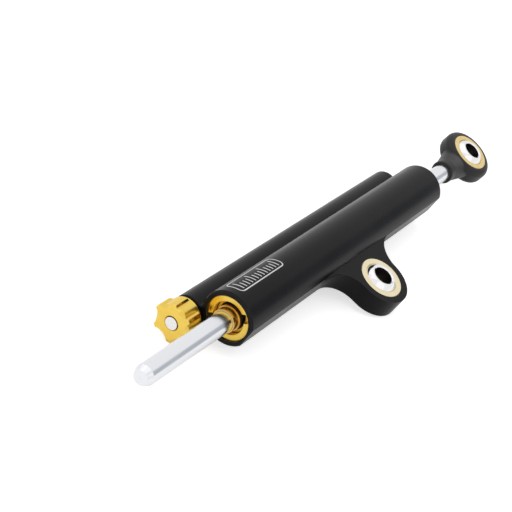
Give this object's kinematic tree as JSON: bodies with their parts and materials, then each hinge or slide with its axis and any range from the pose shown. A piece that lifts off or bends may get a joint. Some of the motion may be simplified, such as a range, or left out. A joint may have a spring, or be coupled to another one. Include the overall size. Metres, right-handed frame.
{
  "type": "motorcycle steering damper",
  "caption": "Linear steering damper: twin-tube body with a side lug, through rod, spherical bearings at lug and rod end, and a click adjuster knob.",
  "frame": {"origin": "centre of the ball in the body's lug, where the damper is bolted to the motorcycle", "axes": "+X along the rod towards the rod end, +Z along the lug's bolt hole, lug towards -Y"},
  "size_m": [0.2666, 0.0546, 0.0301],
  "materials": {
    "black_anodised": "satin black anodised",
    "gold_anodised": "satin gold anodised",
    "forged_black": "satin black",
    "bearing_bronze": "turned bronze",
    "polished_chrome": "polished",
    "bright_steel": "fine turned",
    "plain_aluminium": "machined",
    "slide_bronze": "fine turned",
    "black_rubber": "matte",
    "slide_plastic": "filled slide plastic",
    "spring_steel": "drawn wire"
  },
  "bodies": {
    "housing": {"damper_body": "black_anodised", "front_lock_ring": "gold_anodised", "front_seal_head": "gold_anodised", "front_guide_bush": "slide_bronze", "front_dust_ring": "black_rubber", "front_wiper": "slide_plastic", "front_rod_seal": "black_rubber", "front_head_o_ring": "black_rubber", "rear_lock_ring": "gold_anodised", "rear_seal_head": "gold_anodised", "rear_guide_bush": "slide_bronze", "rear_dust_ring": "black_rubber", "rear_wiper": "slide_plastic", "rear_rod_seal": "black_rubber", "rear_head_o_ring": "black_rubber", "lug_race": "bearing_bronze", "valve_cartridge": "plain_aluminium", "valve_seat": "slide_bronze", "cartridge_o_ring": "black_rubber", "detent_ball": "bright_steel", "detent_spring": "spring_steel", "chamber_plug": "black_anodised", "plug_o_ring": "black_rubber", "compensator_spring": "spring_steel"},
    "rod": {"piston_rod": "polished_chrome", "piston": "plain_aluminium", "piston_band": "slide_plastic", "piston_circlips": "spring_steel", "rod_end": "forged_black", "eye_race": "bearing_bronze"},
    "knob": {"adjuster_knob": "gold_anodised", "knob_screw": "bright_steel", "adjuster_spindle": "bright_steel", "spindle_o_ring": "black_rubber"},
    "needle": {"valve_needle": "bright_steel"},
    "compensator": {"compensator_piston": "plain_aluminium", "compensator_o_ring": "black_rubber"},
    "lug_ball": {"lug_ball": "polished_chrome"},
    "eye_ball": {"eye_ball": "polished_chrome"}
  },
  "joints": [
    {"name": "rod_slide", "type": "slide", "parent": "housing", "child": "rod", "axis": [1, 0, 0], "range_m": [-0.0205, 0.0385]},
    {"name": "knob_turn", "type": "hinge", "parent": "housing", "child": "knob", "pos_m": [-0.0797, 0.03423, -0.01181], "axis": [1, 0, 0], "range_deg": [-540, 540]},
    {"name": "needle_travel", "type": "slide", "parent": "knob", "child": "needle", "axis": [1, 0, 0], "range_m": [-0.00075, 0.00075]},
    {"name": "lug_ball_tilt", "type": "hinge", "parent": "housing", "child": "lug_ball", "pos_m": [0, 0, 0], "axis": [1, 0, 0], "range_deg": [-13, 13]},
    {"name": "eye_ball_tilt", "type": "hinge", "parent": "rod", "child": "eye_ball", "pos_m": [0.1232, 0.022, 0], "axis": [1, 0, 0], "range_deg": [-13, 13]},
    {"name": "compensator_slide", "type": "slide", "parent": "housing", "child": "compensator", "axis": [1, 0, 0], "range_m": [-0.002, 0.002], "stiffness_N_per_m": 500, "deforming": ["compensator_spring"]}
  ],
  "couplings": [
    {"joint": "needle_travel", "follows": "knob_turn", "m_per_rad": 0.000079577}
  ]
}
